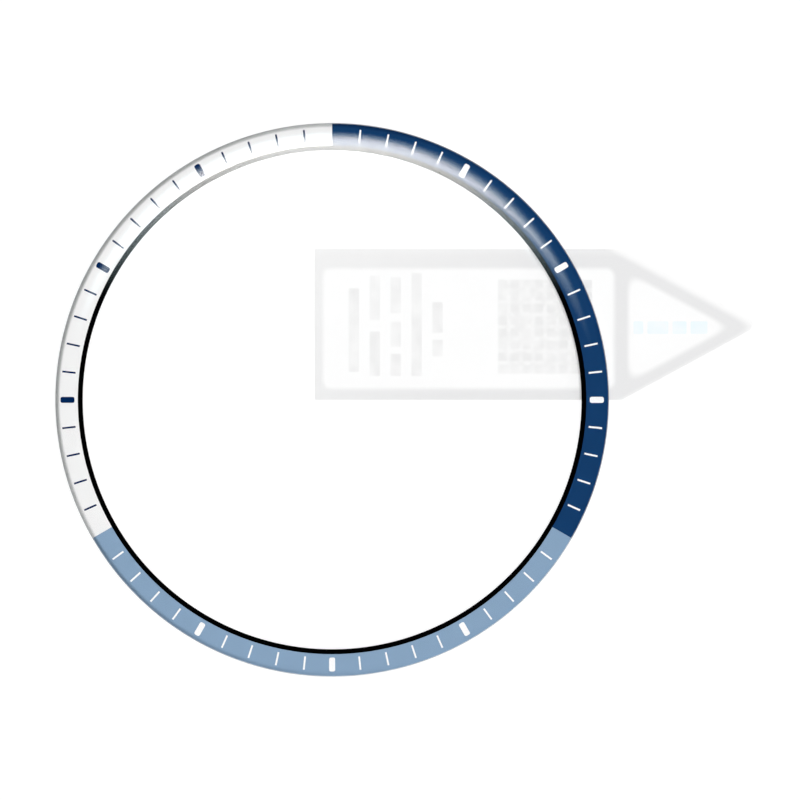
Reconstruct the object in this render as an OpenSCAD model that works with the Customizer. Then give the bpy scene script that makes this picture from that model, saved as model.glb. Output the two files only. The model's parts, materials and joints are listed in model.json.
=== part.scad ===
/* [Window and ring] */
// Diameter of the clear window over the watch's display
window_d = 35.7; // [32:0.1:42]
// Width of the black ring round the window
black_ring_w = 0.35; // [0.2:0.05:1]
// Width of the coloured minute ring, out to the rim of the glass
colour_ring_w = 1.6; // [1.5:0.05:3]
// Distance by which the ink stops short of the rim
print_inset = 0.04; // [0.03:0.01:0.12]

/* [Glass] */
// Thickness of the glass
glass_t = 0.33; // [0.3:0.01:0.7]
// How far the curved edge reaches in from the rim
edge_run = 0.85; // [0.5:0.05:1.4]
// How far the curved edge falls to the rim
edge_drop = 0.2; // [0.1:0.01:0.22]
// Angle at which the curved edge leaves the flat front
edge_start = 3; // [1:0.5:5]
// Radius of the outermost rim, under the curved edge
rim_r = 0.06; // [0.03:0.01:0.08]
// Bevel ground on the back edge
back_bevel = 0.03; // [0.02:0.005:0.04]

/* [Minute ring marks] */
// Gap from the black ring to the hour bars
mark_gap = 0.24; // [0.1:0.01:0.35]
// Length of an hour bar
bar_len = 1.0; // [0.6:0.05:1.1]
// Width of an hour bar
bar_w = 0.43; // [0.3:0.01:0.8]
// Corner radius of an hour bar
bar_corner = 0.13; // [0.05:0.01:0.14]
// Length of a minute tick
tick_len = 0.96; // [0.5:0.02:1.1]
// Width of a minute tick
tick_w = 0.13; // [0.08:0.01:0.3]

/* [Layers behind the glass] */
// Thickness of each printed colour
ink_t = 0.03; // [0.02:0.005:0.05]
// Thickness of the opaque backing print
backing_t = 0.03; // [0.02:0.005:0.05]
// Thickness of the optical adhesive under the backing print
optical_t = 0.03; // [0.02:0.005:0.08]
// Thickness of the shatter film
film_t = 0.08; // [0.05:0.01:0.15]
// Thickness of the silicone adhesive
silicone_t = 0.06; // [0.03:0.01:0.1]
// Distance by which the films stop short of the glass rim
film_inset = 0.3; // [0.15:0.05:0.6]

/* [Release liner] */
// Thickness of the release liner
liner_t = 0.1; // [0.05:0.01:0.15]
// Distance by which the liner stops short of the glass rim
liner_inset = 0.15; // [0.05:0.05:0.5]

/* [Label on the liner] */
// Thickness of the label sheet
label_t = 0.1; // [0.08:0.01:0.16]
// Thickness of the label's print, sunk flush into the sheet
label_ink_t = 0.03; // [0.02:0.005:0.05]
// Thickness of the adhesive that bonds the label to the liner
label_glue_t = 0.03; // [0.02:0.005:0.06]
// Distance by which that adhesive stays inside the liner's edge
label_glue_inset = 0.3; // [0.1:0.1:1]
// Width of the label
label_w = 10.8; // [10:0.1:14]
// How far the label reaches back past the middle of the disc
label_back = 1.25; // [0.5:0.05:6]
// Width of the printed frame along the label's two long sides
label_border = 1.1; // [0.5:0.05:1.1]
// How far the panel inside the frame sits below the label's middle line
panel_drop = 0.3; // [0:0.05:0.35]
// Width of the printed frame at the label's back end
label_back_border = 0.6; // [0.4:0.05:1.5]
// Corner radius of the panel inside the frame
panel_corner = 0.6; // [0.2:0.05:1.2]
// Distance from the label's back edge to the first printed row
first_row = 2.8; // [1.8:0.1:3.2]
// Distance from one printed row to the next
row_pitch = 1.5; // [1.1:0.05:1.6]
// Width of a printed row
row_w = 0.75; // [0.4:0.05:0.9]
// Number of dots along each side of the dot grid
dot_count = 8; // [4:1:8]
// Distance from one dot to the next
dot_pitch = 0.87; // [0.8:0.01:0.92]
// Side of a dot
dot_size = 0.6; // [0.3:0.05:0.7]
// Gap from the dot grid to the end of the panel
grid_margin = 1.5; // [0.8:0.1:2]

/* [Pull tab] */
// Gap from the glass rim to the crease where the tab bends
crease_clear = 0.4; // [0.3:0.05:1]
// Clearance between the bonded label and the tab's rounded root
crease_gap = 0.05; // [0.04:0.01:0.1]
// Straight length of the tab from the crease to its shoulders
shoulder_run = 0.57; // [0.3:0.01:1]
// Length of the arrow point, from the shoulders to its unrounded apex
point_len = 9.95; // [9:0.05:14]
// Radius of the arrow's tip
tip_r = 0.54; // [0.3:0.02:0.8]
// Width of the printed bar across the tab, next to the crease
tab_bar_w = 1.04; // [0.6:0.02:1.2]
// Width of the printed frame along the arrow's slopes
tab_border = 1.1; // [0.8:0.05:1.2]
// Corner radius of the panel inside the arrow
tab_panel_corner = 0.7; // [0.3:0.05:0.8]
// Width of the printed row on the arrow
tab_row_w = 0.9; // [0.4:0.05:1.1]

/* [Hidden] */
$fn = 180;

NAVY = "#163c68";
LIGHT_BLUE = "#88a3be";
WHITE = "#f1f1f1";
BLACK = "#060606";
MARK_WHITE = "#fbfbfb";
MARK_NAVY = "#032350";
LABEL_GREY = "#e9e9e9";
LABEL_CYAN = "#d3eaf4";
CLEAR = [0.82, 0.9, 0.93, 0.35];
CLEAR_FILM = [0.9, 0.93, 0.95, 0.4];

// The dial is divided as a clock face: sixty minutes, twelve hours and three coloured sectors
minutes = 60;
minutes_per_hour = 5;
sectors = 3;
sector_minutes = minutes / sectors;
minute_angle = 360 / minutes;
sector_angle = 360 / sectors;
NAVY_PLACE = 0;
LIGHT_BLUE_PLACE = 1;
WHITE_PLACE = 2;

// Height by which the rim's arc stands above the point where it would only touch the curved edge
rim_lift = 0.004;

// Largest share of a box's shorter side that a rounded corner may take
widest_corner = 0.45;

// Radii from the window outwards
window_r = window_d / 2;
black_ring_r = window_r + black_ring_w;
glass_r = black_ring_r + colour_ring_w;
print_r = glass_r - print_inset;
film_r = glass_r - film_inset;
liner_r = glass_r - liner_inset;
mark_r = black_ring_r + mark_gap + bar_len / 2;

// Heights from the surface that the label lies on, up to the glass
label_top = label_t;
liner_z = label_top + label_glue_t;
silicone_z = liner_z + liner_t;
film_z = silicone_z + silicone_t;
optical_z = film_z + film_t;
backing_z = optical_z + optical_t;
ink_z = backing_z + backing_t;
glass_z = ink_z + ink_t;

// The curved edge is an arc from the flat front's edge to the top of the rim
flat_r = glass_r - edge_run;
edge_chord = sqrt(edge_run * edge_run + edge_drop * edge_drop);
edge_arc_r = edge_chord / (2 * sin(atan(edge_drop / edge_run) - edge_start));
edge_arc_x = flat_r - edge_arc_r * sin(edge_start);
edge_arc_z = glass_t - edge_arc_r * cos(edge_start);
// The rim's small arc meets the upright side, and crosses the large arc just outside where it touches it
rim_x = glass_r - rim_r;
rim_reach = edge_arc_r - rim_r;
rim_off = rim_x - edge_arc_x;
rim_z = edge_arc_z + sqrt(rim_reach * rim_reach - rim_off * rim_off) + rim_lift;
touch_x = edge_arc_x + rim_off * edge_arc_r / rim_reach;

// The label, along X from its back edge to the arrow's tip, and along Y from the dial's middle line
label_mid = label_w / 2;
crease_x = glass_r + crease_clear;
crease_z = label_t / 2;
root_r = label_t / 2;
label_end = crease_x - root_r - crease_gap;
shoulder_x = crease_x + shoulder_run;
apex_x = shoulder_x + point_len;
slope = atan(label_mid / point_len);
tip_x = apex_x - tip_r / sin(slope);
panel_back = label_back_border - label_back;
// The panel runs a little past the label's end, so that its corner arcs cross that end cleanly
panel_overrun = 0.1;
row_x = first_row - label_back;
grid_side = (dot_count - 1) * dot_pitch + dot_size;
grid_x = label_end - grid_margin - grid_side;
grid_y = label_mid - panel_drop / 2 - grid_side / 2;

// Each printed row is a list of bars: their middle, from the label's middle line, and their length
label_rows = [
    [[-0.4, 6.0]],
    [[-2.1, 3.2], [1.9, 3.2]],
    [[-2.9, 1.6], [-0.7, 1.8], [2.1, 2.6]],
    [[0, 7.4]],
    [[-1.7, 1.2], [0.5, 2.2]]
];
// Bars on the arrow, from the edge of its panel: where each starts, and its length
tab_row = [[0.35, 0.7], [1.35, 1.5], [3.15, 1.0], [4.45, 1.2]];

// Inner corners of the arrow's panel, before they are rounded
tab_panel_x = crease_x + tab_bar_w;
tab_panel_apex = apex_x - tab_border / sin(slope);
tab_panel_half = (tab_panel_apex - tab_panel_x) * tan(slope);

// A disc of the stack, from height z
module layer(r, z, t) {
    translate([0, 0, z]) cylinder(r = r, h = t);
}

// Places a mark at a minute of the dial, clockwise from twelve
module at_minute(minute) {
    rotate(-minute * minute_angle) translate([0, mark_r]) children();
}

// A box with rounded corners about the origin
module rounded_box(w, l, corner) {
    r = min(corner, widest_corner * min(w, l));
    union() {
        square([w - 2 * r, l], center = true);
        square([w, l - 2 * r], center = true);
        for (x = [-1, 1], y = [-1, 1])
            translate([x * (w / 2 - r), y * (l / 2 - r)]) circle(r = r);
    }
}

// The ring between two radii
module ring(inner_r, outer_r) {
    difference() {
        circle(r = outer_r);
        circle(r = inner_r);
    }
}

// The hour bars of one sector
module hour_marks(place) {
    first = place * sector_minutes;
    for (m = [first + minutes_per_hour : minutes_per_hour : first + sector_minutes - 1])
        at_minute(m) rounded_box(bar_w, bar_len, bar_corner);
}

// The minute ticks of one sector, which leave out the hours
module minute_marks(place) {
    first = place * sector_minutes;
    for (m = [first + 1 : first + sector_minutes - 1])
        if (m % minutes_per_hour != 0)
            at_minute(m) square([tick_w, tick_len], center = true);
}

// One printed colour: a third of the ring, knocked out where its marks go
module sector_print(place) {
    reach = 2 * glass_r;
    start = 90 - place * sector_angle;
    turns = [0, sector_angle / 2, sector_angle];
    translate([0, 0, ink_z]) linear_extrude(ink_t) difference() {
        intersection() {
            ring(black_ring_r, print_r);
            polygon(concat([[0, 0]], [for (a = turns) reach * [cos(start - a), sin(start - a)]]));
        }
        hour_marks(place);
        minute_marks(place);
    }
}

// Printed marks, which fill their knock-outs
module printed_marks() {
    translate([0, 0, ink_z]) linear_extrude(ink_t) children();
}

// The half section of the glass: flat front, curved edge, rounded rim and bevelled back edge
module glass_section() {
    above = 2 * glass_t;
    difference() {
        intersection() {
            square([glass_r, glass_t]);
            union() {
                square([edge_arc_x, above]);
                translate([edge_arc_x, edge_arc_z]) circle(r = edge_arc_r);
            }
            union() {
                square([touch_x, above]);
                square([glass_r, rim_z]);
                translate([rim_x, rim_z]) circle(r = rim_r);
            }
        }
        polygon([
            [glass_r - back_bevel, 0], [glass_r, back_bevel], [glass_r + back_bevel, back_bevel],
            [glass_r + back_bevel, -back_bevel], [glass_r - back_bevel, -back_bevel]
        ]);
    }
}

// The bonded part of the label, from its back edge to the crease
module label_outline() {
    translate([-label_back, 0]) square([label_end + label_back, label_w]);
}

// The bonded label's frame, round its panel and open at the crease
module label_frame_outline() {
    panel_len = label_end + panel_overrun - panel_back;
    difference() {
        label_outline();
        translate([panel_back + panel_len / 2, label_mid - panel_drop])
            rounded_box(panel_len, label_w - 2 * label_border, panel_corner);
    }
}

// The printed rows of the bonded label
module label_rows_outline() {
    for (i = [0 : len(label_rows) - 1])
        for (bar = label_rows[i])
            translate([row_x + i * row_pitch, label_mid + bar[0]])
                square([row_w, bar[1]], center = true);
}

// The square grid of dots on the bonded label
module dot_grid_outline() {
    for (i = [0 : dot_count - 1], j = [0 : dot_count - 1])
        translate([grid_x + i * dot_pitch, grid_y + j * dot_pitch]) square(dot_size);
}

// The free arrow end of the label, with a rounded tip
module tab_outline() {
    union() {
        polygon([
            [crease_x, 0], [shoulder_x, 0],
            [tip_x + tip_r * sin(slope), label_mid - tip_r * cos(slope)],
            [tip_x + tip_r * sin(slope), label_mid + tip_r * cos(slope)],
            [shoulder_x, label_w], [crease_x, label_w]
        ]);
        translate([tip_x, label_mid]) circle(r = tip_r);
    }
}

// The rounded three-cornered panel inside the arrow
module tab_panel_outline() {
    r = tab_panel_corner;
    // The two corners at the bar and the one at the tip, as the middles of their arcs
    back_x = tab_panel_x + r;
    back_y = tab_panel_half - r * tan(slope) - r / cos(slope);
    front_x = tab_panel_apex - r / sin(slope);
    out = r * [sin(slope), cos(slope)];
    translate([0, label_mid]) union() {
        polygon([
            [tab_panel_x, -back_y], [back_x, -back_y], [back_x + out[0], -back_y - out[1]],
            [front_x + out[0], -out[1]], [front_x + out[0], out[1]],
            [back_x + out[0], back_y + out[1]], [back_x, back_y], [tab_panel_x, back_y]
        ]);
        translate([back_x, back_y]) circle(r = r);
        translate([back_x, -back_y]) circle(r = r);
        translate([front_x, 0]) circle(r = r);
    }
}

// The arrow's frame, which starts clear of the rounded root
module tab_frame_outline() {
    difference() {
        intersection() {
            tab_outline();
            translate([crease_x + root_r, 0]) square([apex_x - crease_x, label_w]);
        }
        tab_panel_outline();
    }
}

// The printed row of the arrow
module tab_row_outline() {
    for (bar = tab_row)
        translate([tab_panel_x + bar[0], label_mid - tab_row_w / 2]) square([bar[1], tab_row_w]);
}

// Print in the top of the label, and the pocket of the same shape that holds it
module label_print() {
    translate([0, 0, label_top - label_ink_t]) linear_extrude(label_ink_t) children();
}

module glass_lens() {
    color(CLEAR) translate([0, 0, glass_z]) rotate_extrude() glass_section();
}

module navy_sector() {
    color(NAVY) sector_print(NAVY_PLACE);
}

module light_blue_sector() {
    color(LIGHT_BLUE) sector_print(LIGHT_BLUE_PLACE);
}

module white_sector() {
    color(WHITE) sector_print(WHITE_PLACE);
}

module black_ring() {
    color(BLACK) translate([0, 0, ink_z]) linear_extrude(ink_t) ring(window_r, black_ring_r);
}

module hour_bars_on_navy() {
    color(MARK_WHITE) printed_marks() hour_marks(NAVY_PLACE);
}

module minute_ticks_on_navy() {
    color(MARK_WHITE) printed_marks() minute_marks(NAVY_PLACE);
}

module hour_bars_on_light_blue() {
    color(MARK_WHITE) printed_marks() hour_marks(LIGHT_BLUE_PLACE);
}

module minute_ticks_on_light_blue() {
    color(MARK_WHITE) printed_marks() minute_marks(LIGHT_BLUE_PLACE);
}

module hour_bars_on_white() {
    color(MARK_NAVY) printed_marks() hour_marks(WHITE_PLACE);
}

module minute_ticks_on_white() {
    color(MARK_NAVY) printed_marks() minute_marks(WHITE_PLACE);
}

module backing_ink_ring() {
    color(WHITE) translate([0, 0, backing_z]) linear_extrude(backing_t) ring(window_r, print_r);
}

// Clear adhesive, with a step that fills the window inside the ink
module optical_adhesive() {
    color(CLEAR) union() {
        layer(film_r, optical_z, optical_t);
        layer(window_r, backing_z, glass_z - backing_z);
    }
}

module shatter_film() {
    color(CLEAR_FILM) layer(film_r, film_z, film_t);
}

module silicone_adhesive() {
    color(CLEAR) layer(film_r, silicone_z, silicone_t);
}

module release_liner() {
    color(CLEAR_FILM) layer(liner_r, liner_z, liner_t);
}

// The label's adhesive lies only where the label is under the liner
module label_adhesive() {
    color(CLEAR) intersection() {
        layer(liner_r - label_glue_inset, label_top, label_glue_t);
        translate([0, 0, label_top]) linear_extrude(label_glue_t) label_outline();
    }
}

module label_sheet() {
    color(CLEAR_FILM) difference() {
        linear_extrude(label_t) label_outline();
        label_print() label_frame_outline();
        label_print() label_rows_outline();
        label_print() dot_grid_outline();
    }
}

module label_frame_print() {
    color(LABEL_GREY) label_print() label_frame_outline();
}

module label_text_bars() {
    color(LABEL_GREY) label_print() label_rows_outline();
}

module label_dot_grid() {
    color(LABEL_GREY) label_print() dot_grid_outline();
}

// The tab's root is half a cylinder on the crease, so that it bends clear of the bonded label
module pull_tab_sheet() {
    color(CLEAR_FILM) union() {
        difference() {
            linear_extrude(label_t) tab_outline();
            label_print() tab_frame_outline();
            label_print() tab_row_outline();
        }
        intersection() {
            translate([crease_x, 0, crease_z]) rotate([-90, 0, 0]) cylinder(r = root_r, h = label_w);
            translate([crease_x - label_t, 0, 0]) cube([label_t, label_w, label_t]);
        }
    }
}

module pull_tab_frame_print() {
    color(LABEL_GREY) label_print() tab_frame_outline();
}

module pull_tab_text_bars() {
    color(LABEL_CYAN) label_print() tab_row_outline();
}

glass_lens();
navy_sector();
light_blue_sector();
white_sector();
black_ring();
hour_bars_on_navy();
minute_ticks_on_navy();
hour_bars_on_light_blue();
minute_ticks_on_light_blue();
hour_bars_on_white();
minute_ticks_on_white();
backing_ink_ring();
optical_adhesive();
shatter_film();
silicone_adhesive();
release_liner();
label_adhesive();
label_sheet();
label_frame_print();
label_text_bars();
label_dot_grid();
pull_tab_sheet();
pull_tab_frame_print();
pull_tab_text_bars();
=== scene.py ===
import json
import math

import bpy
import numpy as np
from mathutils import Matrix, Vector
from mathutils.geometry import delaunay_2d_cdt


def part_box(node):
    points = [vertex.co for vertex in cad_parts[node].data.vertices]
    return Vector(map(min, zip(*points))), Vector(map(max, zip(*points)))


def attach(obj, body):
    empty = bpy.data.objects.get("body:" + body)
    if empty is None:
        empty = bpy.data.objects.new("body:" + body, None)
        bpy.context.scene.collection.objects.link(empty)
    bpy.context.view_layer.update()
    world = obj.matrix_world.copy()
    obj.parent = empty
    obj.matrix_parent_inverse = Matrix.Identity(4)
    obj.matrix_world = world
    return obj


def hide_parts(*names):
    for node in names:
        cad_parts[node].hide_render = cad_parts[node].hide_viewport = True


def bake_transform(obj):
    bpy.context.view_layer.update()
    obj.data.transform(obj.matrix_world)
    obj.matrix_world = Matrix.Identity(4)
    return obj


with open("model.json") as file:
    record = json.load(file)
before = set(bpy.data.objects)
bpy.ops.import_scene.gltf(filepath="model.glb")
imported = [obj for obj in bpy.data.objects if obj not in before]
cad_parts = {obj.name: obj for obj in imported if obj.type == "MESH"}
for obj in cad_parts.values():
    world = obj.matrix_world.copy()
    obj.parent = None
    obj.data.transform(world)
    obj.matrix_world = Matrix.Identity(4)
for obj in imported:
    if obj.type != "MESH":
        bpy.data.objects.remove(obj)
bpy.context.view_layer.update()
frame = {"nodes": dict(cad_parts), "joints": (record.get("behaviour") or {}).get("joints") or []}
MM = 0.001

# Sizes in millimetres that the looks share with the solids, where the frame doesn't give them

# The glass: the drop of its curved edge, its rounded rim and the bevel on its back
EDGE_DROP = 0.2
RIM_R = 0.06
BACK_BEVEL = 0.03
# The marks: their gap to the black ring, then the hour bars and the minute ticks
MARK_GAP = 0.24
BAR_LEN = 1.0
BAR_W = 0.43
BAR_CORNER = 0.13
TICK_LEN = 0.96
TICK_W = 0.13
TICK_CORNER = TICK_W / 6
# The label's frame: its mean width above and below the panel, its width at the back end, how far the
# panel is set below the label's middle line, and the panel's corners
LABEL_BORDER = 1.1
LABEL_BACK_BORDER = 0.6
PANEL_DROP = 0.3
PANEL_CORNER = 0.6
# The rows of plain bars on the panel, from the label's back end
FIRST_ROW = 2.8
ROW_PITCH = 1.5
ROW_W = 0.75
# The plain grid of dots, and its gap to the label's other end
DOT_COUNT = 8
DOT_PITCH = 0.87
DOT_SIZE = 0.6
GRID_MARGIN = 1.5
# The arrow: its shoulder past the crease, its point up to where its sides would meet, and its tip
SHOULDER_RUN = 0.57
POINT_LEN = 9.95
TIP_R = 0.54
# The arrow's frame before and beside its panel, the panel's corners and the bars on it
TAB_BAR_W = 1.04
TAB_BORDER = 1.1
TAB_PANEL_CORNER = 0.7
TAB_ROW_W = 0.9
# The corners of the printed bars and dots, as a share of their width
PRINT_CORNER = 1 / 8
# Each printed row's bars: their middle, from the label's middle line, and their length
LABEL_ROWS = (
    ((-0.4, 6.0),),
    ((-2.1, 3.2), (1.9, 3.2)),
    ((-2.9, 1.6), (-0.7, 1.8), (2.1, 2.6)),
    ((0, 7.4),),
    ((-1.7, 1.2), (0.5, 2.2)),
)
# Bars on the arrow, from the edge of its panel: where each starts, and its length
TAB_ROW = ((0.35, 0.7), (1.35, 1.5), (3.15, 1.0), (4.45, 1.2))

MINUTES = 60
MINUTES_PER_HOUR = 5
# Each sector's ink and the ink of its marks, clockwise from twelve. A slot of the record is an ink's
# name with _ink after it
SECTORS = (("navy", "mark_white"), ("light_blue", "mark_white"), ("white", "mark_navy"))
SWEEP = 360 / len(SECTORS)

# Neighbouring layers stay this far apart, so that no two faces share a place
SKIN = 0.001
# How far the tag's print stands out of its film, how far it thins out at its edges, and how far the
# arrow's print sits below the arrow's middle line
PRINT_RISE = 0.0035
PRINT_FADE = 0.25
ARROW_DROP = 0.22
# Where the glass's front starts to ease into its curved edge, how fast it does and the points along
# it, and the narrow flat stretch just before it
EASE_R = 18.2
EASE_POWER = 2.4
EASE_POINTS = 64
FLAT_END = 0.05
# Rounds after which the lean of the front at its rim is found
LEAN_ROUNDS = 6
# Steps round a whole circle, round a small corner, and along the edge of the label's adhesive
ROUND = 480
CORNER_STEPS = 8
GLUE_STEPS = 48
# Half the length of film that bends at the crease, the cuts made across it, and how far the lines of
# the cuts reach past the film
BEND_HALF = 0.25
BEND_CUTS = 16
CUT_REACH = 1
# Smooth faces that meet at more than this many degrees meet in a sharp edge
SHARP_ANGLE = 28
# Points that are nearer to each other than this count as one when an area is filled
NEARNESS = 1e-5

# The camera's place, in metres
CAMERA_PLACE = (4.857 * MM, -0.01 * MM, 239.0 * MM)


def radii(name):
    """The least and greatest distance of a node's corners from the dial's axis, in millimetres."""
    distances = [v.co.xy.length / MM for v in frame["nodes"][name].data.vertices]
    return min(distances), max(distances)


def corners(name):
    """A node's lowest and highest corner, in millimetres."""
    low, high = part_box(name)
    return low / MM, high / MM


def heights(name):
    """The lowest and highest level of a node, in millimetres."""
    low, high = corners(name)
    return low.z, high.z


GLASS_R = radii("glass_lens")[1]
WINDOW_R, BLACK_R = radii("black_ring")
PRINT_R = radii("backing_ink_ring")[1]
FILM_R = radii("shatter_film")[1]
LINER_R = radii("release_liner")[1]
GLUE_R = radii("label_adhesive")[1]
GLASS_BACK, GLASS_TOP = heights("glass_lens")
INK_LOW, INK_HIGH = heights("black_ring")
BACKING_LOW, BACKING_HIGH = heights("backing_ink_ring")
OPTICAL_LOW = heights("optical_adhesive")[0]
FILM_LOW = heights("shatter_film")[0]
SILICONE_LOW = heights("silicone_adhesive")[0]
LINER_LOW, LINER_HIGH = heights("release_liner")
GLUE_HIGH = heights("label_adhesive")[1]
LABEL_LOW, LABEL_HIGH = corners("label_sheet")
TAG_TIP_X = corners("pull_tab_sheet")[1].x
PRINT_LOW, PRINT_HIGH = heights("label_frame_print")
CREASE_X = next(j["pos_m"][0] for j in frame["joints"] if j["name"] == "tab_bend") / MM
MARK_R = BLACK_R + MARK_GAP + BAR_LEN / 2
# The label's lower edge is at zero, so its middle is also half its height
LABEL_MID = (LABEL_LOW.y + LABEL_HIGH.y) / 2
ARROW_MID = LABEL_MID - ARROW_DROP
# How much the arrow's sides lean towards its middle line
SLOPE = math.atan(LABEL_MID / POINT_LEN)
# Where the label's panel and the arrow's panel start, and where the arrow's sides would meet
PANEL_X = LABEL_LOW.x + LABEL_BACK_BORDER
TAB_PANEL_X = CREASE_X + TAB_BAR_W
APEX_X = CREASE_X + SHOULDER_RUN + POINT_LEN


# Meshes


def finish_mesh(name, points, faces, slots=(), smooth=False):
    """A mesh object from points in millimetres, with the material slot of each face."""
    mesh = bpy.data.meshes.new(name)
    mesh.from_pydata([Vector(p) * MM for p in points], [], faces)
    if slots:
        mesh.polygons.foreach_set("material_index", slots)
    mesh.update()
    if smooth:
        mesh.shade_smooth()
        mesh.set_sharp_from_angle(angle=math.radians(SHARP_ANGLE))
    piece = bpy.data.objects.new(name, mesh)
    bpy.context.scene.collection.objects.link(piece)
    return piece


def keep(piece, looks, slot, body, *nodes):
    """Gives a piece its materials, lets it stand for its nodes and sets it on its body. Its slot is not
    used.
    A piece given no body is set on none."""
    for look in looks:
        piece.data.materials.append(MATERIALS[look])
    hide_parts(*nodes)
    if body:
        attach(piece, body)


def lathe(name, profile, slots=(), ring=False):
    """A piece turned from a profile of (radius, height) points that runs with the solid on its left.
    slots gives the material slot of each stretch, and a ring's last point joins its first."""
    points, rows, faces, face_slots = [], [], [], []
    turns = [math.tau * i / ROUND for i in range(ROUND)]
    for r, z in profile:
        row = turns if r > 0 else [0]
        rows.append(range(len(points), len(points) + len(row)))
        points += [(r * math.cos(a), r * math.sin(a), z) for a in row]
    for k in range(len(rows) if ring else len(rows) - 1):
        low, high = rows[k], rows[(k + 1) % len(rows)]
        for i in range(ROUND):
            j = (i + 1) % ROUND
            face = (low[i % len(low)], low[j % len(low)], high[j % len(high)], high[i % len(high)])
            faces.append(list(dict.fromkeys(face)))
            face_slots.append(slots[k] if slots else 0)
    return finish_mesh(name, points, faces, face_slots, smooth=True)


def band(inner_r, outer_r, low, high):
    """The profile of a flat ring."""
    return [(inner_r, low), (outer_r, low), (outer_r, high), (inner_r, high)]


def held(spots, loops):
    """Whether each spot lies inside the loops, by the even-odd rule."""
    x, y = spots[:, 0], spots[:, 1]
    odd = np.zeros(len(spots), bool)
    for loop in loops:
        for (x0, y0), (x1, y1) in zip(loop, loop[1:] + loop[:1]):
            if y0 != y1:
                odd ^= ((y0 > y) != (y1 > y)) & (x < x0 + (y - y0) * (x1 - x0) / (y1 - y0))
    return odd


def filled(loops, cuts):
    """The points and triangles that fill the area inside the loops, divided along the cuts too."""
    spots, edges = [], []
    for line, closed in [(loop, True) for loop in loops] + [(cut, False) for cut in cuts]:
        first, count = len(spots), len(line)
        spots += line
        steps = count if closed else count - 1
        edges += [(first + i, first + (i + 1) % count) for i in range(steps)]
    found, _, triangles, *_ = delaunay_2d_cdt([Vector(s) for s in spots], edges, [], 0, NEARNESS)
    flat = np.array([(v.x, v.y) for v in found])
    middles = flat[np.array(triangles)].mean(axis=1)
    kept = [t for t, inside in zip(triangles, held(middles, loops)) if inside]
    used = sorted({v for t in kept for v in t})
    place = {v: i for i, v in enumerate(used)}
    return flat[used], [[place[v] for v in t] for t in kept]


def prism(name, loops, bottom, top, cuts=()):
    """A closed solid over the area inside the loops, its flat faces divided along the cuts too."""
    flat, triangles = filled(loops, cuts)
    count = len(flat)
    points = [(x, y, z) for z in (bottom, top) for x, y in flat]
    faces, sides = [], set()
    for a, b, c in triangles:
        faces += [[a + count, b + count, c + count], [c, b, a]]
        sides |= {(a, b), (b, c), (c, a)}
    faces += [[p, q, q + count, p + count] for p, q in sorted(sides) if (q, p) not in sides]
    return finish_mesh(name, points, faces)


def arc(x, y, r, start, end, steps):
    """Points round an arc, from one angle to another in degrees."""
    angles = [math.radians(start + (end - start) * i / steps) for i in range(steps + 1)]
    return [(x + r * math.cos(a), y + r * math.sin(a)) for a in angles]


def rounded_box(low_x, low_y, high_x, high_y, r):
    """A box with round corners, as a loop."""
    return (
        arc(high_x - r, high_y - r, r, 0, 90, CORNER_STEPS)
        + arc(low_x + r, high_y - r, r, 90, 180, CORNER_STEPS)
        + arc(low_x + r, low_y + r, r, 180, 270, CORNER_STEPS)
        + arc(high_x - r, low_y + r, r, 270, 360, CORNER_STEPS)
    )


def centred_box(x, y, width, height, r):
    """A box with round corners about its middle, as a loop."""
    return rounded_box(x - width / 2, y - height / 2, x + width / 2, y + height / 2, r)


# The dial


def mark_loop(minute):
    """The outline of the hour bar or minute tick at a minute of the dial, clockwise from twelve."""
    if minute % MINUTES_PER_HOUR == 0:
        loop = centred_box(0, MARK_R, BAR_W, BAR_LEN, BAR_CORNER)
    else:
        loop = centred_box(0, MARK_R, TICK_W, TICK_LEN, TICK_CORNER)
    turn = -math.tau * minute / MINUTES
    c, s = math.cos(turn), math.sin(turn)
    return [(x * c - y * s, x * s + y * c) for x, y in loop]


def sector_minutes(place):
    """The minutes of a sector's marks, as those of its hour bars and those of its ticks."""
    length = MINUTES // len(SECTORS)
    minutes = range(place * length + 1, (place + 1) * length)
    hours = [m for m in minutes if m % MINUTES_PER_HOUR == 0]
    return hours, [m for m in minutes if m not in hours]


def sector_loop(place):
    """The outline of a sector's print."""
    start = 90 - SWEEP * place
    end = start - SWEEP
    steps = ROUND // len(SECTORS)
    return arc(0, 0, PRINT_R, end, start, steps) + arc(0, 0, BLACK_R, start, end, steps)


def make_dial():
    """The three printed sectors with their knock-outs, and the marks that fill these."""
    low, high = INK_LOW, INK_HIGH - SKIN
    for place, (ink, mark_ink) in enumerate(SECTORS):
        bars, ticks = ([mark_loop(m) for m in minutes] for minutes in sector_minutes(place))
        sector = prism(f"{ink}_print", [sector_loop(place), *bars, *ticks], low, high)
        keep(sector, [ink], f"{ink}_ink", "lens", f"{ink}_sector")
        for kind, loops in (("hour_bars", bars), ("minute_ticks", ticks)):
            marks = prism(f"{kind}_printed_on_{ink}", loops, low, high)
            keep(marks, [mark_ink], f"{mark_ink}_ink", "lens", f"{kind}_on_{ink}")


# The lens


def front_height(r):
    """The level of the glass's front, which eases from flat into its curved edge."""
    return GLASS_TOP - EDGE_DROP * (max(r - EASE_R, 0) / (GLASS_R - EASE_R)) ** EASE_POWER


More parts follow.
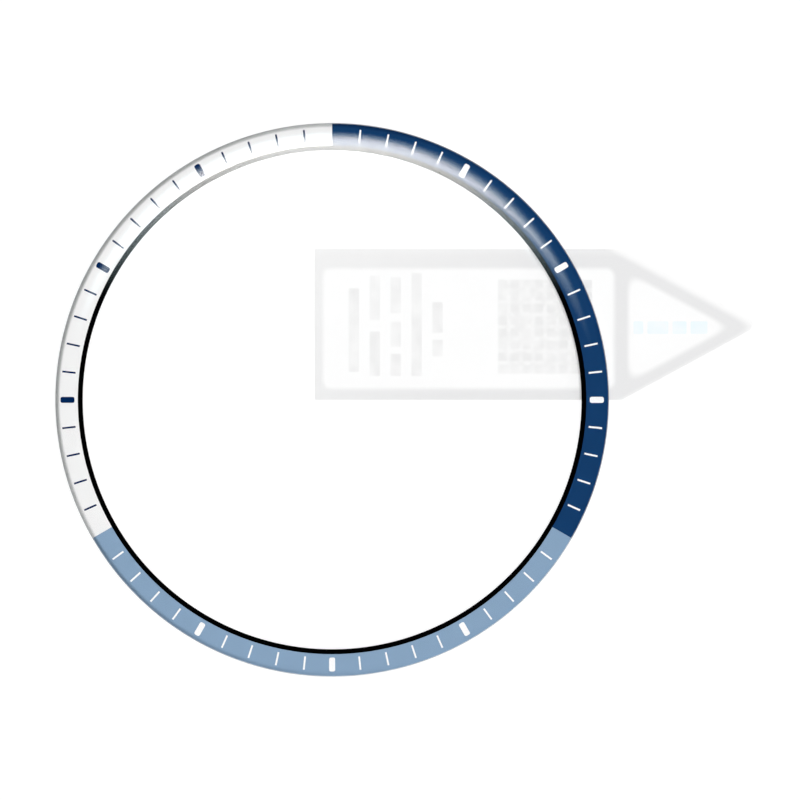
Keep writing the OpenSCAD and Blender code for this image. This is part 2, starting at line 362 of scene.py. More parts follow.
def glass_profile():
    """Half the glass's section, from the middle of its back round to the middle of its front."""
    rim_x = GLASS_R - RIM_R
    lean = 0.0
    for _ in range(LEAN_ROUNDS):
        # Where the curved front runs into the rounded rim, and how much it leans there
        end_r = rim_x + RIM_R * math.sin(lean)
        lean = math.atan((front_height(end_r - SKIN) - front_height(end_r + SKIN)) / (2 * SKIN))
    rim_z = front_height(end_r) - RIM_R * math.cos(lean)
    rim = arc(rim_x, rim_z, RIM_R, 0, 90 - math.degrees(lean), CORNER_STEPS)
    front = [(r, front_height(r)) for r in np.linspace(end_r, EASE_R, EASE_POINTS)[1:]]
    bevel = [(GLASS_R - BACK_BEVEL, GLASS_BACK), (GLASS_R, GLASS_BACK + BACK_BEVEL)]
    return [(0, GLASS_BACK)] + bevel + rim + front + [(EASE_R - FLAT_END, GLASS_TOP), (0, GLASS_TOP)]


def make_glass():
    """The glass, with a bonded back, a ground bevel, and a polished front and rim."""
    profile = glass_profile()
    slots = [1, 2] + [0] * (len(profile) - 3)
    looks = ["glass_front", "bonded", "glass_bevel"]
    keep(lathe("curved_glass", profile, slots), looks, "tempered_glass", "lens", "glass_lens")


def make_rings():
    """The black ring, and the backing print behind all the colours."""
    rings = (
        ("black", BLACK_R, INK_LOW, INK_HIGH, "black_ink", "black_ring"),
        ("backing", PRINT_R, BACKING_LOW, BACKING_HIGH, "backing_ink", "backing_ink_ring"),
    )
    for look, outer_r, low, high, slot, solid in rings:
        ring = lathe(f"{look}_print", band(WINDOW_R, outer_r, low, high - SKIN), ring=True)
        keep(ring, [look], slot, "lens", solid)


def make_bonded_layers():
    """The clear layers bonded behind the glass, drawn by their cut edges alone, because a face between
    two bonded clear layers shows nothing."""
    glue, film = ["adhesive_edge"], ["film_edge"]
    edges = (
        ("optical_adhesive_edge", OPTICAL_LOW, BACKING_LOW, glue, "optical_adhesive", "optical_adhesive"),
        ("shatter_film_edge", FILM_LOW, OPTICAL_LOW, film, "clear_film", "shatter_film"),
        ("silicone_edge", SILICONE_LOW, FILM_LOW, glue, "silicone_gel", "silicone_adhesive"),
    )
    for name, low, high, looks, slot, solid in edges:
        keep(lathe(name, [(FILM_R, low), (FILM_R, high)]), looks, slot, "lens", solid)


# The liner and its tag


def make_liner():
    """The liner's front face and cut edge. Its clear back is left open, because light may cross only a
    few clear faces."""
    top = LINER_HIGH - SKIN
    liner = lathe("liner_film", [(LINER_R, LINER_LOW), (LINER_R, top), (0, top)], [1, 0])
    keep(liner, ["liner_face", "film_edge"], "clear_film", "liner", "release_liner")


def tag_outline():
    """The whole tag's outline, the label and the arrow with its round tip."""
    shoulder_x = CREASE_X + SHOULDER_RUN
    tip_angle = 90 - math.degrees(SLOPE)
    return (
        [(LABEL_LOW.x, LABEL_LOW.y), (shoulder_x, LABEL_LOW.y)]
        + arc(TAG_TIP_X - TIP_R, LABEL_MID, TIP_R, -tip_angle, tip_angle, 2 * CORNER_STEPS)
        + [(shoulder_x, LABEL_HIGH.y), (LABEL_LOW.x, LABEL_HIGH.y)]
    )


def label_panel():
    """The label's panel, as far as the frame's thinned print reaches into it."""
    low_y = LABEL_BORDER - PANEL_DROP + PRINT_FADE
    high_y = LABEL_HIGH.y - LABEL_BORDER - PANEL_DROP - PRINT_FADE
    corner = PANEL_CORNER - PRINT_FADE
    return rounded_box(PANEL_X + PRINT_FADE, low_y, CREASE_X - PRINT_FADE, high_y, corner)


def arrow_panel():
    """The arrow's rounded three-cornered panel, as far as the frame's thinned print reaches into it."""
    r = TAB_PANEL_CORNER
    slope = math.degrees(SLOPE)
    apex_x = APEX_X - TAB_BORDER / math.sin(SLOPE)
    half = (apex_x - TAB_PANEL_X) * math.tan(SLOPE) - r * math.tan(SLOPE) - r / math.cos(SLOPE)
    corner = r - PRINT_FADE
    return (
        arc(TAB_PANEL_X + r, ARROW_MID - half, corner, 180, 270 + slope, CORNER_STEPS)
        + arc(apex_x - r / math.sin(SLOPE), ARROW_MID, corner, slope - 90, 90 - slope, CORNER_STEPS)
        + arc(TAB_PANEL_X + r, ARROW_MID + half, corner, 90 - slope, 180, CORNER_STEPS)
    )


def text_loops():
    """The plain bars that stand for the label's lines."""
    first = LABEL_LOW.x + FIRST_ROW
    return [
        centred_box(first + i * ROW_PITCH, LABEL_MID + middle, ROW_W, length, ROW_W * PRINT_CORNER)
        for i, row in enumerate(LABEL_ROWS)
        for middle, length in row
    ]


def dot_grid():
    """The lowest corner of the grid of dots, and its side."""
    side = (DOT_COUNT - 1) * DOT_PITCH + DOT_SIZE
    return LABEL_HIGH.x - GRID_MARGIN - side, LABEL_MID - PANEL_DROP / 2 - side / 2, side


def dot_loops():
    """The plain grid of dots that stands for the label's square code."""
    x, y, _ = dot_grid()
    steps = [i * DOT_PITCH for i in range(DOT_COUNT)]
    starts = [(x + i, y + j) for i in steps for j in steps]
    return [rounded_box(a, b, a + DOT_SIZE, b + DOT_SIZE, DOT_SIZE * PRINT_CORNER) for a, b in starts]


def tab_loops():
    """The plain bars that stand for the arrow's text."""
    middles = [(TAB_PANEL_X + start + length / 2, length) for start, length in TAB_ROW]
    corner = TAB_ROW_W * PRINT_CORNER
    return [centred_box(x, ARROW_MID, length, TAB_ROW_W, corner) for x, length in middles]


def glue_skin():
    """The upright side of the label's adhesive, which lies where the label is under the liner."""
    top = math.sqrt(GLUE_R**2 - LABEL_HIGH.y**2)
    rise = math.degrees(math.atan2(LABEL_HIGH.y, top))
    edge = arc(0, 0, GLUE_R, 0, rise, GLUE_STEPS)
    line = [(LABEL_LOW.x, LABEL_LOW.y)] + edge + [(LABEL_LOW.x, LABEL_HIGH.y)]
    count = len(line)
    points = [(x, y, z) for z in (LABEL_HIGH.z, GLUE_HIGH - SKIN) for x, y in line]
    faces = [(i, (i + 1) % count, (i + 1) % count + count, i + count) for i in range(count)]
    return finish_mesh("label_adhesive_skin", points, faces)


def bend_at_crease(piece):
    """Bakes a piece's place into its mesh."""
    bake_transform(piece)


def make_tag():
    """The milky tag, one film and one printed frame, both divided along cuts across the crease, and the
    adhesive that holds the label on the liner."""
    reach = (LABEL_LOW.y - CUT_REACH, LABEL_HIGH.y + CUT_REACH)
    places = np.linspace(CREASE_X - BEND_HALF, CREASE_X + BEND_HALF, BEND_CUTS + 1)
    cuts = [[(x, y) for y in reach] for x in places]
    film = prism("tag_film", [tag_outline()], LABEL_LOW.z, LABEL_HIGH.z - PRINT_RISE, cuts)
    keep(film, ["tag_film"], "label_film", None, "label_sheet", "pull_tab_sheet")
    panels = [tag_outline(), label_panel(), arrow_panel()]
    printed = prism("tag_frame", panels, PRINT_LOW, PRINT_HIGH, cuts)
    keep(printed, ["tag_frame"], "label_grey_ink", None, "label_frame_print", "pull_tab_frame_print")
    for piece in (film, printed):
        bend_at_crease(piece)
    keep(glue_skin(), ["adhesive_edge"], "optical_adhesive", "liner", "label_adhesive")


def make_tag_print():
    """The plain bars and dots on the tag's two panels."""
    prints = (
        ("tag_rows", text_loops(), "label_grey_ink", "liner", "label_text_bars"),
        ("tag_dots", dot_loops(), "label_grey_ink", "liner", "label_dot_grid"),
        ("arrow_bars", tab_loops(), "label_cyan_ink", "pull_tab", "pull_tab_text_bars"),
    )
    for name, loops, slot, body, solid in prints:
        keep(prism(name, loops, PRINT_LOW, PRINT_HIGH), [name], slot, body, solid)


# Nodes


def material(name):
    """A new material, its node tree, and the Surface socket of the output that is all it holds."""
    made = bpy.data.materials.new(name)
    made.use_nodes = True
    made.node_tree.nodes.clear()
    output = made.node_tree.nodes.new("ShaderNodeOutputMaterial")
    return made, made.node_tree, output.inputs["Surface"]


def feed(tree, socket, value):
    """Links an output to a socket, or sets the socket to a value."""
    if isinstance(value, bpy.types.NodeSocket):
        tree.links.new(value, socket)
    else:
        socket.default_value = value


def node(tree, kind, inputs=None, **settings):
    """A new node with its settings, and values or links for its inputs by name or number."""
    made = tree.nodes.new(kind)
    for key, value in settings.items():
        setattr(made, key, value)
    for key, value in (inputs or {}).items():
        feed(tree, made.inputs[key], value)
    return made


def maths(tree, operation, *values):
    """A sum worked out by a node."""
    return node(tree, "ShaderNodeMath", dict(enumerate(values)), operation=operation).outputs[0]


def product(tree, value, *factors):
    """A value times each of the factors."""
    for factor in factors:
        value = maths(tree, "MULTIPLY", value, factor)
    return value


def vectors(tree, operation, *values):
    """A sum of vectors worked out by a node."""
    made = node(tree, "ShaderNodeVectorMath", dict(enumerate(values)), operation=operation)
    return made.outputs["Value" if operation in ("LENGTH", "DOT_PRODUCT") else "Vector"]


def split(tree, vector):
    """The outputs X, Y and Z of a vector."""
    return node(tree, "ShaderNodeSeparateXYZ", {0: vector}).outputs


def flat_length(tree, vector):
    """The length of a vector as seen from above."""
    return vectors(tree, "LENGTH", vectors(tree, "MULTIPLY", vector, (1, 1, 0)))


def place_of(tree):
    """Where a point is on the object, in metres."""
    return node(tree, "ShaderNodeTexCoord").outputs["Object"]


def noise(tree, size, stretch=(1, 1, 1), detail=3.0):
    """Noise whose spots are about that many millimetres across."""
    place = place_of(tree)
    if stretch != (1, 1, 1):
        place = node(tree, "ShaderNodeMapping", {"Vector": place, "Scale": stretch}).outputs[0]
    inputs = {"Vector": place, "Scale": 1 / (size * MM), "Detail": detail, "Roughness": 0.6}
    return node(tree, "ShaderNodeTexNoise", inputs).outputs["Fac"]


def ranged(tree, value, before, after, smooth=False):
    """A value carried over from one range to another, and held at its ends."""
    inputs = {"Value": value, "From Min": before[0], "From Max": before[1]}
    inputs |= {"To Min": after[0], "To Max": after[1]}
    kind = "SMOOTHSTEP" if smooth else "LINEAR"
    return node(tree, "ShaderNodeMapRange", inputs, interpolation_type=kind).outputs["Result"]


def grey(level):
    """A colour without a tint."""
    return (level, level, level)


def scaled(colour, factor):
    """A colour made lighter or darker, and at most white."""
    return tuple(min(c * factor, 1.0) for c in colour)


def rgba(colour):
    """A colour as a socket takes it. A link stays as it is."""
    return colour if isinstance(colour, bpy.types.NodeSocket) else (*colour, 1.0)


def colour_mix(tree, factor, first, second):
    """A colour between two colours."""
    inputs = {0: factor, 6: rgba(first), 7: rgba(second)}
    return node(tree, "ShaderNodeMix", inputs, data_type="RGBA").outputs[2]


def shader_mix(tree, factor, first, second):
    """A shader between two shaders."""
    return node(tree, "ShaderNodeMixShader", {0: factor, 1: first, 2: second}).outputs[0]


def bump(tree, height, depth, strength=1.0):
    """A normal over a relief that many millimetres deep."""
    inputs = {"Height": height, "Distance": depth * MM, "Strength": strength}
    return node(tree, "ShaderNodeBump", inputs).outputs["Normal"]


def principled(tree, colour, roughness, specular, normal=None):
    """A shader for a surface that covers what is behind it."""
    inputs = {"Base Color": rgba(colour), "Roughness": roughness, "Specular IOR Level": specular}
    if normal is not None:
        inputs["Normal"] = normal
    return node(tree, "ShaderNodeBsdfPrincipled", inputs).outputs[0]


def clear(tree, tint, roughness, head_on=None, normal=None):
    """What is seen through a clear skin, with its shine, which is faint head on and full when seen
    aslant."""
    seen = node(tree, "ShaderNodeBsdfTransparent", {"Color": rgba(tint)}).outputs[0]
    shine = {"Roughness": roughness}
    facing = {"Blend": 0.5}
    if normal is not None:
        shine["Normal"] = facing["Normal"] = normal
    if head_on is not None:
        faint = node(tree, "ShaderNodeBsdfGlossy", {"Color": rgba(head_on), **shine}).outputs[0]
        seen = node(tree, "ShaderNodeAddShader", {0: seen, 1: faint}).outputs[0]
    aslant = node(tree, "ShaderNodeLayerWeight", facing).outputs["Facing"]
    gloss = node(tree, "ShaderNodeBsdfGlossy", {"Color": rgba(WHITE), **shine}).outputs[0]
    return shader_mix(tree, maths(tree, "POWER", aslant, SHINE_POWER), seen, gloss)


# Materials

WHITE = grey(1)
# Spans that hold nearly all of a noise's values, and most of them
NOISE_SPAN = (0.3, 0.7)
NOISE_CORE = (0.35, 0.65)
# How steeply a clear skin's shine grows as it is seen more aslant
SHINE_POWER = 5.0
# The tag's film where it is bare, and the frame's print where it is faintest and deepest
TAG_PAPER = grey(0.985)
FRAME_FAINT = grey(0.892)
FRAME_DEEP = (0.812, 0.812, 0.817)
# Where along the tag the frame is deepest, in millimetres, and how much a step down the tag deepens
# it for each step along it
DEEPEST_X = 18.3
DOWN_SHARE = 0.8
# How round the arrow's faded print is, in millimetres: at the tip, and at the panel's other corners
TIP_ROUNDING = 1.6
PANEL_ROUNDING = 1.8
# The painted image of the print in the clear rim beside the navy and the light blue sector
PAINTED_RIM_BLUES = ((0, 0.12, 0.36), (0.72, 0.82, 0.92))
# How far past the print that blue is full, in millimetres, and half the width over which it ends at
# a sector's end, as a share of the glass's radius
PRINT_EDGE = 0.005
SECTOR_EDGE = 0.02
# The painted shade at the rim of the glass: its colour, and how far in from the edge of the glass it
# starts and is full, in millimetres
PAINTED_RIM_SHADE = (0, 0.02, 0.02)
SHADE_START = 0.39
SHADE_FULL = 0.1
# The side of the rim where the painted shade is deepest, how much of it there is, and how far across
# the glass from there it ends, as a share of the radius
DEEP_SIDE = (-1, 0.47, 0)
SHADE_COVER = 0.46
SHADE_END = 0.77
# The frost at the very edge: how far in it starts, in millimetres, and how much of it there is
FROST_W = 0.08
FROST_COVER = 0.2


def screen_ink(name, colour, grain=0.025):
    """Ink printed on the back of the glass: its colour has a fine grain, and behind the glass it has no
    shine of its own."""
    made, tree, surface = material(name)
    tone = colour_mix(tree, noise(tree, 0.09), scaled(colour, 1 - grain), scaled(colour, 1 + grain))
    rough = ranged(tree, noise(tree, 0.2), NOISE_SPAN, (0.5, 0.65))
    relief = bump(tree, noise(tree, 0.05), depth=0.001, strength=0.3)
    feed(tree, surface, principled(tree, tone, rough, specular=0.0, normal=relief))
    return made


def tag_ink(tree, tone):
    """The matt face of the print on the tag."""
    relief = bump(tree, noise(tree, 0.06), depth=0.002, strength=0.3)
    return principled(tree, tone, roughness=0.55, specular=0.1, normal=relief)


def tag_print(name, tone, paper):
    """Thin, worn print on the tag, through which up to that share of the paper shows."""
    made, tree, surface = material(name)
    worn = ranged(tree, noise(tree, 1.2, detail=1.0), NOISE_SPAN, (0, paper))
    feed(tree, surface, tag_ink(tree, colour_mix(tree, worn, tone, TAG_PAPER)))
    return made


def off_box(tree, middle, half, corner):
    """How far a point is outside a box with round corners, in metres, from the box's sizes in
    millimetres."""
    centre = (middle[0] * MM, middle[1] * MM, 0)
    inner = [(v - corner) * MM for v in half] + [0]
    reach = vectors(tree, "ABSOLUTE", vectors(tree, "SUBTRACT", place_of(tree), centre))
    past = vectors(tree, "MAXIMUM", vectors(tree, "SUBTRACT", reach, inner), (0, 0, 0))
    return maths(tree, "SUBTRACT", flat_length(tree, past), corner * MM)


def arrow_depth(tree, part):
    """How far a point lies inside the arrow's sides, in metres."""
    above = maths(tree, "SUBTRACT", part["Y"], ARROW_MID * MM)
    below = maths(tree, "MULTIPLY", above, -1.0)
    off_middle = maths(tree, "SMOOTH_MAX", above, below, TIP_ROUNDING * MM)
    run = maths(tree, "MULTIPLY", maths(tree, "SUBTRACT", APEX_X * MM, part["X"]), math.sin(SLOPE))
    return maths(tree, "SUBTRACT", run, maths(tree, "MULTIPLY", off_middle, math.cos(SLOPE)))


def off_panels(tree, part, inside):
    """How far a point lies outside the nearer of the two panels, in metres."""
    off_back = maths(tree, "SUBTRACT", TAB_PANEL_X * MM, part["X"])
    off_sides = maths(tree, "SUBTRACT", TAB_BORDER * MM, inside)
    off_arrow = maths(tree, "SMOOTH_MAX", off_back, off_sides, PANEL_ROUNDING * MM)
    middle = ((PANEL_X + CREASE_X) / 2, LABEL_MID - PANEL_DROP)
    half = ((CREASE_X - PANEL_X) / 2, LABEL_MID - LABEL_BORDER)
    return maths(tree, "MINIMUM", off_box(tree, middle, half, PANEL_CORNER), off_arrow)


def frame_tone(tree, part):
    """The frame's grey, which deepens from its upper back corner to the arrow."""
    down = maths(tree, "MULTIPLY", maths(tree, "SUBTRACT", LABEL_HIGH.y * MM, part["Y"]), DOWN_SHARE)
    along = maths(tree, "ADD", part["X"], down)
    deep = ranged(tree, along, (LABEL_LOW.x * MM, DEEPEST_X * MM), (0, 1))
    return colour_mix(tree, deep, FRAME_FAINT, FRAME_DEEP)


def frame_ink():
    """The tag's frame: faint print that thins out at the panels, along its upper edge and at the
    arrow's sides, and is a little worn."""
    made, tree, surface = material("tag_frame_ink")
    part = split(tree, place_of(tree))
    inside = arrow_depth(tree, part)
    outside = off_panels(tree, part, inside)
    at_panels = ranged(tree, outside, (-PRINT_FADE * MM, PRINT_FADE * MM), (0, 1), smooth=True)
    at_sides = ranged(tree, inside, (-0.1 * MM, 0.5 * MM), (0, 1), smooth=True)
    near_top = ((LABEL_HIGH.y - 0.6) * MM, (LABEL_HIGH.y - 0.2) * MM)
    at_top = ranged(tree, part["Y"], near_top, (1, 0.8))
    wear = ranged(tree, noise(tree, 0.12), (0.4, 0.7), (1, 0.92))
    cover = product(tree, at_panels, at_sides, at_top, wear)
    feed(tree, surface, tag_ink(tree, colour_mix(tree, cover, TAG_PAPER, frame_tone(tree, part))))
    return made


def milky_film():
    """The tag's film: milky white plastic with a satin face, and a blotchy faint grey ground behind
    the dots."""
    made, tree, surface = material("tag_milky_film")
    lines = noise(tree, 1.5, stretch=(1, 8, 1), detail=4.0)
    paper = colour_mix(tree, noise(tree, 0.5), scaled(TAG_PAPER, 0.985), TAG_PAPER)
    x, y, side = dot_grid()
    middle = (x + side / 2, y + side / 2)
    off_dots = off_box(tree, middle, (side / 2, side / 2), DOT_SIZE * PRINT_CORNER)
    ground = ranged(tree, off_dots, (-0.1 * MM, 0.15 * MM), (1, 0), smooth=True)
    blotches = ranged(tree, noise(tree, 0.7), NOISE_CORE, (0.4, 1), smooth=True)
    tone = colour_mix(tree, maths(tree, "MULTIPLY", ground, blotches), paper, grey(0.88))
    rough = ranged(tree, lines, NOISE_CORE, (0.3, 0.42))
    relief = bump(tree, lines, depth=0.0006, strength=0.4)
    feed(tree, surface, principled(tree, tone, rough, specular=0.1, normal=relief))
    return made


def painted_rim_shade(tree, reach):
    """How much painted shade darkens the glass near its rim, most of all at ten o'clock."""
    shade_ring = ((GLASS_R - SHADE_START) * MM, (GLASS_R - SHADE_FULL) * MM)
    near_rim = ranged(tree, reach, shade_ring, (0, 1), smooth=True)
    across = vectors(tree, "DOT_PRODUCT", place_of(tree), DEEP_SIDE)
    depth = ranged(tree, across, (-SHADE_END * GLASS_R * MM, GLASS_R * MM), (0, SHADE_COVER))
    return maths(tree, "MULTIPLY", near_rim, depth)


def painted_rim_blue(tree, reach, tint):
    """A tint of the glass, to which the clear rim outside the print adds a painted image of the
    blue print beside it, as far round as each blue sector reaches."""
    past_print = ranged(tree, reach, (PRINT_R * MM, (PRINT_R + PRINT_EDGE) * MM), (0, 1))
    end = math.cos(math.radians(SWEEP / 2))
    sector_end = ((end - SECTOR_EDGE) * GLASS_R * MM, (end + SECTOR_EDGE) * GLASS_R * MM)
    for place, blue in enumerate(PAINTED_RIM_BLUES):
        middle = math.radians(90 - SWEEP * (place + 0.5))
        direction = (math.cos(middle), math.sin(middle), 0)
        towards = vectors(tree, "DOT_PRODUCT", place_of(tree), direction)
        beside = ranged(tree, towards, sector_end, (0, 1))
        tint = colour_mix(tree, maths(tree, "MULTIPLY", beside, past_print), tint, blue)
    return tint


def glass_front():
    """The front of the glass: polished, with painted shade and painted blue at the rim."""
    made, tree, surface = material("glass_front")
    reach = flat_length(tree, place_of(tree))
    # Painted shade near the rim, and the painted image of the blue print in the clear rim
    tint = painted_rim_blue(tree, reach, colour_mix(tree, painted_rim_shade(tree, reach), WHITE, PAINTED_RIM_SHADE))
    seen = clear(tree, tint, roughness=0.03, head_on=grey(0.04))
    tone = colour_mix(tree, noise(tree, 0.04), (0.3, 0.32, 0.32), (0.4, 0.42, 0.42))
    relief = bump(tree, noise(tree, 0.03), depth=0.003, strength=0.5)
    frost = principled(tree, tone, roughness=0.5, specular=0.3, normal=relief)
    frost_ring = ((GLASS_R - FROST_W) * MM, GLASS_R * MM)
    cover = ranged(tree, reach, frost_ring, (0, FROST_COVER), smooth=True)
    feed(tree, surface, shader_mix(tree, cover, seen, frost))
    return made


def ground_bevel():
    """The fine ground bevel on the back edge of the glass."""
    made, tree, surface = material("glass_bevel")
    tone = colour_mix(tree, noise(tree, 0.03), (0.5, 0.54, 0.54), (0.62, 0.66, 0.66))
    relief = bump(tree, noise(tree, 0.02), depth=0.003, strength=0.6)
    frost = principled(tree, tone, roughness=0.5, specular=0.3, normal=relief)
    feed(tree, surface, shader_mix(tree, 0.7, clear(tree, WHITE, roughness=0.3), frost))
    return made


def bonded_face():
    """A face that lies against clear adhesive, where nothing shows."""
    made, tree, surface = material("bonded_face")
    feed(tree, surface, node(tree, "ShaderNodeBsdfTransparent", {"Color": rgba(WHITE)}).outputs[0])
    return made


def clear_film(name, roughness, haze):
    """Clear plastic film, with the faint streaks that it was drawn with and a trace of haze."""
    made, tree, surface = material(name)
    lines = noise(tree, 2.5, stretch=(1, 12, 1), detail=4.0)
    rough = ranged(tree, lines, NOISE_CORE, (roughness, roughness * 2))
    relief = bump(tree, lines, depth=0.0004, strength=0.4)
    tone = colour_mix(tree, noise(tree, 0.6), (0.9, 0.92, 0.93), (0.97, 0.98, 0.98))
    cloud = principled(tree, tone, roughness=0.4, specular=0.3)
    cover = ranged(tree, noise(tree, 1.6), NOISE_SPAN, (haze * 0.5, haze))
    feed(tree, surface, shader_mix(tree, cover, clear(tree, WHITE, rough, normal=relief), cloud))
    return made


def cut_edge(name, tone, cover):
    """The cut edge of a film or of adhesive, paler than its faces because light gathers there."""
    made, tree, surface = material(name)
    pale = colour_mix(tree, noise(tree, 0.08), scaled(tone, 0.88), tone)
    relief = bump(tree, noise(tree, 0.04), depth=0.004, strength=0.5)
    edge = principled(tree, pale, roughness=0.45, specular=0.3, normal=relief)
    feed(tree, surface, shader_mix(tree, cover, clear(tree, WHITE, roughness=0.25), edge))
    return made


MATERIALS = {
    "navy": screen_ink("navy_print_ink", (0.008, 0.0452, 0.1384)),
    "light_blue": screen_ink("light_blue_print_ink", (0.2462, 0.3663, 0.5149)),
    "white": screen_ink("white_print_ink", grey(0.88)),
    "black": screen_ink("black_print_ink", grey(0.0006), grain=0.2),
    "mark_white": screen_ink("white_mark_ink", grey(0.97)),
    "mark_navy": screen_ink("navy_mark_ink", (0.0009, 0.0168, 0.0802)),
    "backing": screen_ink("backing_print_ink", grey(0.8)),
    "glass_front": glass_front(),
    "glass_bevel": ground_bevel(),
    "bonded": bonded_face(),
    "adhesive_edge": cut_edge("adhesive_cut_edge", (0.82, 0.86, 0.86), cover=0.35),
    "film_edge": cut_edge("film_cut_edge", (0.78, 0.84, 0.87), cover=0.5),
    "liner_face": clear_film("liner_film_face", roughness=0.08, haze=0.01),
    "tag_film": milky_film(),
    "tag_frame": frame_ink(),
    "tag_rows": tag_print("tag_row_ink", grey(0.87), paper=0.6),
    "tag_dots": tag_print("tag_dot_ink", grey(0.85), paper=0.5),
    "arrow_bars": tag_print("arrow_bar_ink", (0.86, 0.95, 0.985), paper=0.5),
}


# The studio

# Half the floor's width, and how far it lies below the object, in millimetres
FLOOR_HALF = 3000
FLOOR_GAP = 0.02
# How bright the low light all round is, and how much of it comes from the left and from the right
HORIZON_LEVEL = 0.5
LEFT_SHARE = 0.5
RIGHT_SHARE = 1.5
# How high up that light ends, and below which it is full, from 0 at the horizon to 1 overhead
LOW_LIGHT_END = 0.67
LOW_LIGHT_FULL = 0.45
# The softbox overhead: how bright it is, and its place and size in metres
SOFTBOX_LIGHT = 3.55
SOFTBOX_PLACE = (0.04, -0.016, 0.5)
SOFTBOX_SIZE = 0.5
# The card that the glass mirrors: how bright it is, and in metres the middle of its width, half its
# width, its lower and its upper edge, and the line where it is brightest
CARD_LIGHT = 21.5
CARD_X = -0.009
CARD_HALF = 0.1095
CARD_LOW = 0.0152
CARD_HIGH = 0.1265
CARD_PEAK = 0.0363
# The arch at its lower edge: twice the radius on the dial at which it starts and is full, in metres
ARCH_START = 0.0346
ARCH_FULL = 0.0355
# Where it starts to fade to the right and to the left, as shares of its width, and how steeply
FADE_RIGHT = 0.45
FADE_LEFT = 0.58
FADE_POWER = 1.34
# Its colour where it has faded, and from half its brightness up
CARD_FAINT = (0.68, 0.93, 1)
CARD_BRIGHT = (1, 1, 0.98)


def make_floor():
    """A pale floor under the object. The camera, glass and gloss see it white, with the object's soft
    shadow."""
    ends = ((-1, -1), (1, -1), (1, 1), (-1, 1))
    points = [(x * FLOOR_HALF, y * FLOOR_HALF, -FLOOR_GAP) for x, y in ends]
    floor = finish_mesh("studio_floor", points, [(0, 1, 2, 3)])
    made, tree, surface = material("studio_floor_paint")
    tone = colour_mix(tree, noise(tree, 60), grey(0.84), grey(0.87))
    pale = node(tree, "ShaderNodeBsdfDiffuse", {"Color": tone}).outputs[0]
    glow = {"Color": rgba(grey(0.8)), "Strength": 1.0}
    white = node(tree, "ShaderNodeEmission", glow).outputs[0]
    lit = node(tree, "ShaderNodeBsdfDiffuse", {"Color": rgba(grey(0.25))}).outputs[0]
    seen = node(tree, "ShaderNodeAddShader", {0: white, 1: lit}).outputs[0]
    path = node(tree, "ShaderNodeLightPath").outputs
    either = maths(tree, "MAXIMUM", path["Is Camera Ray"], path["Is Glossy Ray"])
    any_of = maths(tree, "MAXIMUM", either, path["Is Transmission Ray"])
    feed(tree, surface, shader_mix(tree, any_of, pale, seen))
    floor.data.materials.append(made)


def make_world():
    """White behind the object, and soft light from low down all round, more of it from the right."""
    world = bpy.data.worlds.new("studio")
    bpy.context.scene.world = world
    world.use_nodes = True
    tree = world.node_tree
    tree.nodes.clear()
    part = split(tree, node(tree, "ShaderNodeTexCoord").outputs["Generated"])
    rise = (LOW_LIGHT_END, LOW_LIGHT_FULL)
    low = ranged(tree, part["Z"], rise, (0, HORIZON_LEVEL), smooth=True)
    side = ranged(tree, part["X"], (-1, 1), (LEFT_SHARE, RIGHT_SHARE))
    light = {"Color": rgba(WHITE), "Strength": maths(tree, "MULTIPLY", low, side)}
    soft = node(tree, "ShaderNodeBackground", light).outputs[0]
    backdrop = {"Color": rgba(WHITE), "Strength": 1.0}
    white = node(tree, "ShaderNodeBackground", backdrop).outputs[0]
    seen = node(tree, "ShaderNodeLightPath").outputs["Is Camera Ray"]
    output = node(tree, "ShaderNodeOutputWorld")
    feed(tree, output.inputs["Surface"], shader_mix(tree, seen, soft, white))


def area_lamp(name, place, target, width, depth, level):
    """A soft lamp at a place, turned to a target, in metres, and as bright as a white face at that
    level."""
    lamp = bpy.data.lights.new(name, "AREA")
    lamp.shape = "RECTANGLE"
    lamp.size, lamp.size_y = width, depth
    lamp.energy = level * math.pi * width * depth
    holder = bpy.data.objects.new(name, lamp)
    holder.location = place
    holder.rotation_mode = "QUATERNION"
    holder.rotation_quaternion = (Vector(target) - Vector(place)).to_track_quat("-Z", "Y")
    holder.visible_camera = False
    bpy.context.scene.collection.objects.link(holder)
    return holder


def make_softbox():
    """A large soft lamp overhead, a little to the right, which the glass doesn't mirror."""
    size = SOFTBOX_SIZE
    softbox = area_lamp("softbox", SOFTBOX_PLACE, (0, 0, 0), size, size, SOFTBOX_LIGHT)
    softbox.visible_glossy = False


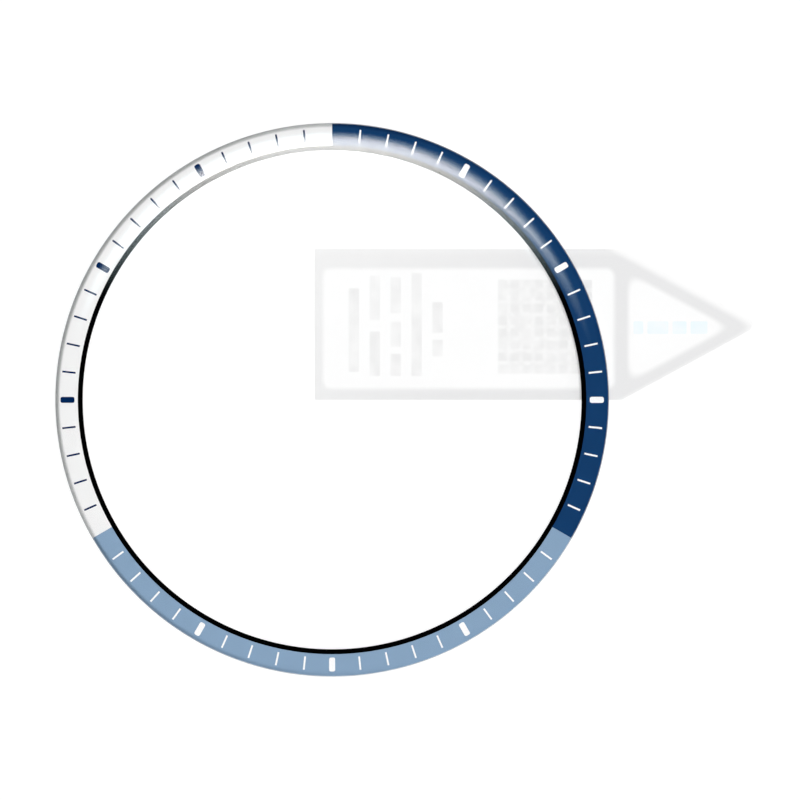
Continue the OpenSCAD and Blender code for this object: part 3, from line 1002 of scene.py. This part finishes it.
def card_level(tree):
    """How bright each spot of the card is, from 0 to 1."""
    part = split(tree, node(tree, "ShaderNodeNewGeometry").outputs["Parametric"])
    # The card is as high as the camera, so the glass mirrors each spot halfway between the two, and the
    # sum of their places is twice the mirrored place. The card's lower edge is an arch that is mirrored
    # just inside the window's edge, so that the window shows no glare
    across = ranged(tree, part["X"], (0, 1), (CARD_X - CARD_HALF, CARD_X + CARD_HALF))
    up = ranged(tree, part["Y"], (0, 1), (CARD_LOW, CARD_HIGH))
    both = {0: maths(tree, "ADD", across, CAMERA_PLACE[0]), 1: up}
    reach = vectors(tree, "LENGTH", node(tree, "ShaderNodeCombineXYZ", both).outputs[0])
    arched = ranged(tree, reach, (ARCH_START, ARCH_FULL), (0, 1), smooth=True)
    # It is brightest where the ring mirrors it at twelve, and fades from there to all sides
    peak = (CARD_PEAK - CARD_LOW) / (CARD_HIGH - CARD_LOW)
    downward = ranged(tree, part["Y"], (0, peak), (0, 1))
    upward = ranged(tree, part["Y"], (peak, 1), (1, 0), smooth=True)
    rightward = ranged(tree, part["X"], (FADE_RIGHT, 1), (1, 0), smooth=True)
    leftward = ranged(tree, part["X"], (FADE_LEFT, 0), (1, 0), smooth=True)
    faded = product(tree, downward, upward, rightward, leftward)
    return maths(tree, "MULTIPLY", maths(tree, "POWER", faded, FADE_POWER), arched)


def make_card():
    """A card that the glass mirrors as a glare over the upper part of the ring. It lights nothing that
    isn't glossy."""
    middle = (CARD_X, (CARD_LOW + CARD_HIGH) / 2, CAMERA_PLACE[2])
    below = (middle[0], middle[1], 0)
    card = area_lamp("card", middle, below, 2 * CARD_HALF, CARD_HIGH - CARD_LOW, CARD_LIGHT)
    card.visible_diffuse = False
    card.visible_transmission = False
    card.data.use_nodes = True
    tree = card.data.node_tree
    level = card_level(tree)
    shine = next(n for n in tree.nodes if n.type == "EMISSION").inputs
    feed(tree, shine["Strength"], level)
    share = ranged(tree, level, (0, 0.5), (0, 1))
    feed(tree, shine["Color"], colour_mix(tree, share, CARD_FAINT, CARD_BRIGHT))


def make_camera():
    """The photograph's camera, straight above the ring."""
    data = bpy.data.cameras.new("camera")
    data.lens = 150
    data.sensor_width = 36
    data.clip_start = 0.01
    data.clip_end = 10
    camera = bpy.data.objects.new("camera", data)
    camera.location = CAMERA_PLACE
    bpy.context.scene.collection.objects.link(camera)
    bpy.context.scene.camera = camera


make_camera()
make_world()
make_floor()
make_softbox()
make_card()
make_glass()
make_rings()
make_bonded_layers()
make_dial()
make_liner()
make_tag()
make_tag_print()

bpy.context.scene.view_settings.view_transform = "Standard"
